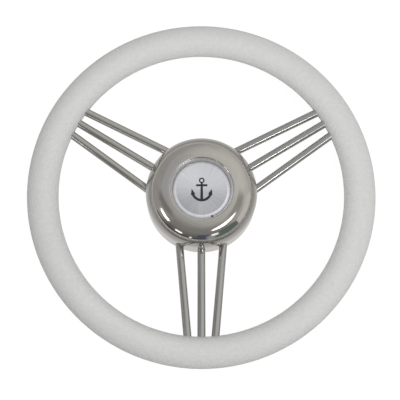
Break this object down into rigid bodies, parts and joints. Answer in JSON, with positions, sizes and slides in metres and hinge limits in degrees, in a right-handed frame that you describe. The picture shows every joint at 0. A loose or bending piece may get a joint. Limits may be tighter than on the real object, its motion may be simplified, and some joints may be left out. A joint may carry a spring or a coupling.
{
  "type": "boat steering wheel",
  "caption": "Round boat steering wheel with a moulded grip, spokes of thin steel bars, a dished hub cover with a brushed centre disc, and a keyed, tapered shaft bore.",
  "frame": {"origin": "on the shaft axis, at the boss's back end face, the lowest point of the part", "axes": "+Z along the shaft axis towards the driver; the bottom spoke points along -Y, and the keyway is on the +Y side"},
  "size_m": [0.35, 0.35, 0.0604],
  "materials": {
    "grip": "satin",
    "polished_steel": "polished",
    "turned_steel": "satin",
    "brushed_aluminium": "satin",
    "black_plastic": "matte",
    "black_rubber": "matte",
    "screw_steel": "satin"
  },
  "bodies": {
    "root": {"rim_grip": "grip", "rim_ring": "turned_steel", "right_spoke_bar_1": "polished_steel", "right_spoke_bar_2": "polished_steel", "right_spoke_bar_3": "polished_steel", "left_spoke_bar_1": "polished_steel", "left_spoke_bar_2": "polished_steel", "left_spoke_bar_3": "polished_steel", "bottom_spoke_bar_1": "polished_steel", "bottom_spoke_bar_2": "polished_steel", "bottom_spoke_bar_3": "polished_steel", "spoke_carrier": "turned_steel", "hub_boss": "turned_steel", "hub_cover": "polished_steel", "center_cap": "black_plastic", "cap_o_ring": "black_rubber", "badge_disc": "brushed_aluminium", "rear_cover": "black_plastic", "rear_cover_screws": "screw_steel"}
  },
  "joints": []
}
